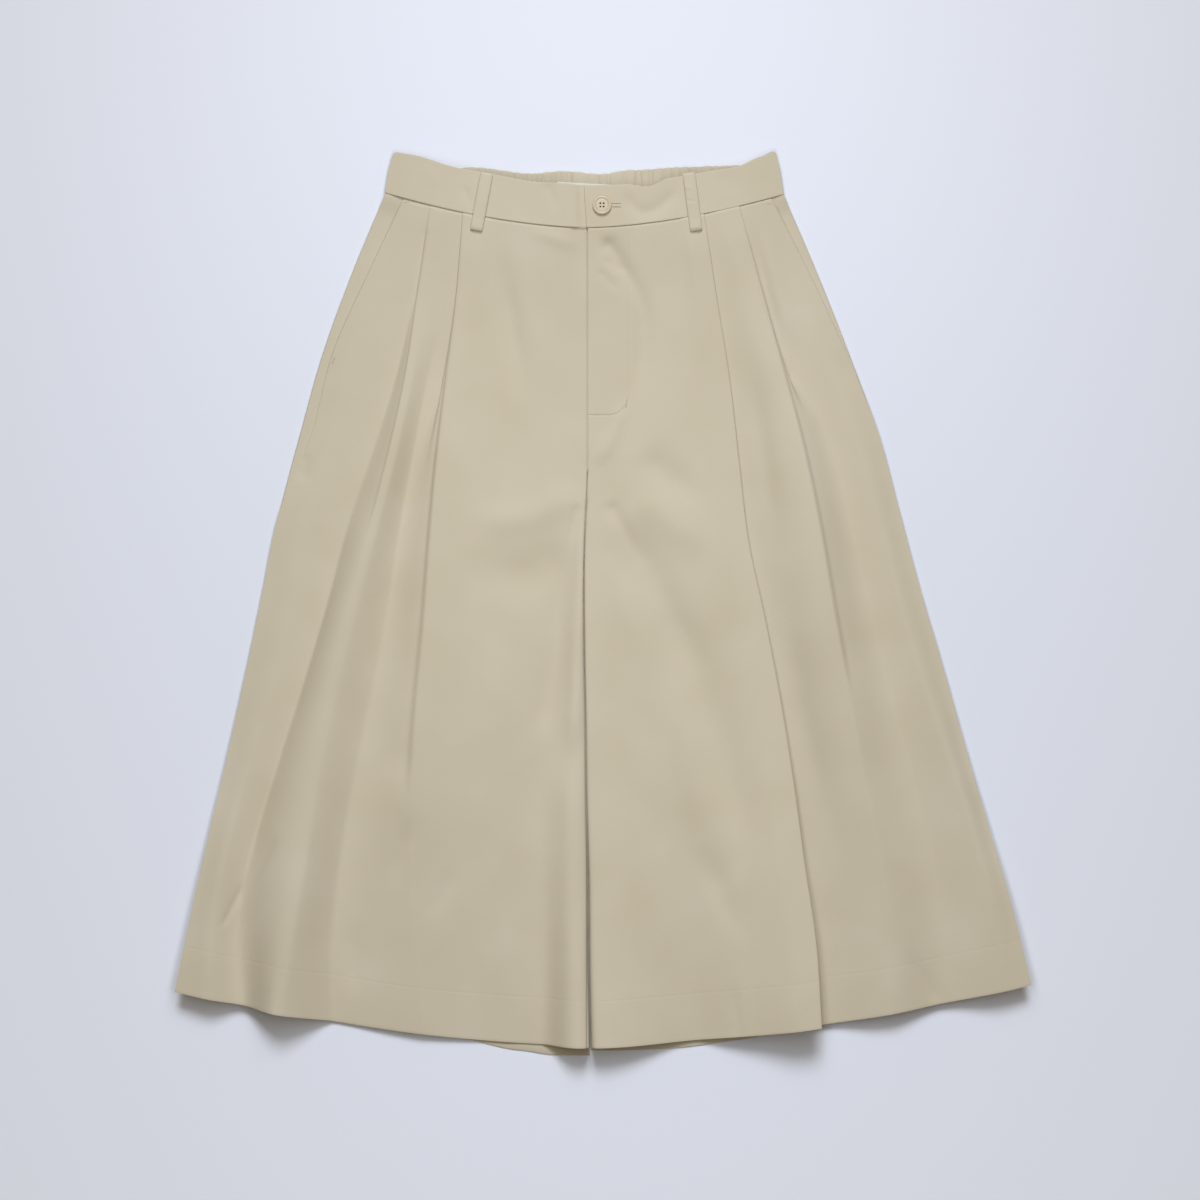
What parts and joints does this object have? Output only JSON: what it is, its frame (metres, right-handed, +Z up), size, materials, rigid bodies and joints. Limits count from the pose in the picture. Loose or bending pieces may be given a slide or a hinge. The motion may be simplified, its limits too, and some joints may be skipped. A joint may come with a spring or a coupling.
{
  "type": "wide pleated bermuda shorts",
  "caption": "Wide calf-length pleated shorts laid flat, with a front waistband, gathered back waistband, belt loops, slanted pockets and a four-hole button.",
  "frame": {"origin": "on the surface the garment lies on, under the middle of its outline", "axes": "+Z up from the surface, +Y towards the waist, +X to the right of someone who looks down at the front"},
  "size_m": [0.7696, 0.817, 0.0355],
  "materials": {
    "twill": "matt cotton twill, sand beige",
    "label": "plain off-white woven strip",
    "button": "semi-matt polyester, beige"
  },
  "bodies": {
    "root": {"front_left_leg": "twill", "front_right_leg": "twill", "back_left_leg": "twill", "back_right_leg": "twill", "pocket_facing_left": "twill", "pocket_facing_right": "twill", "waistband_front_left": "twill", "waistband_front_right": "twill", "waistband_back": "twill", "label_blank": "label", "belt_loop_left": "twill", "belt_loop_right": "twill", "waist_button": "button"}
  },
  "joints": []
}
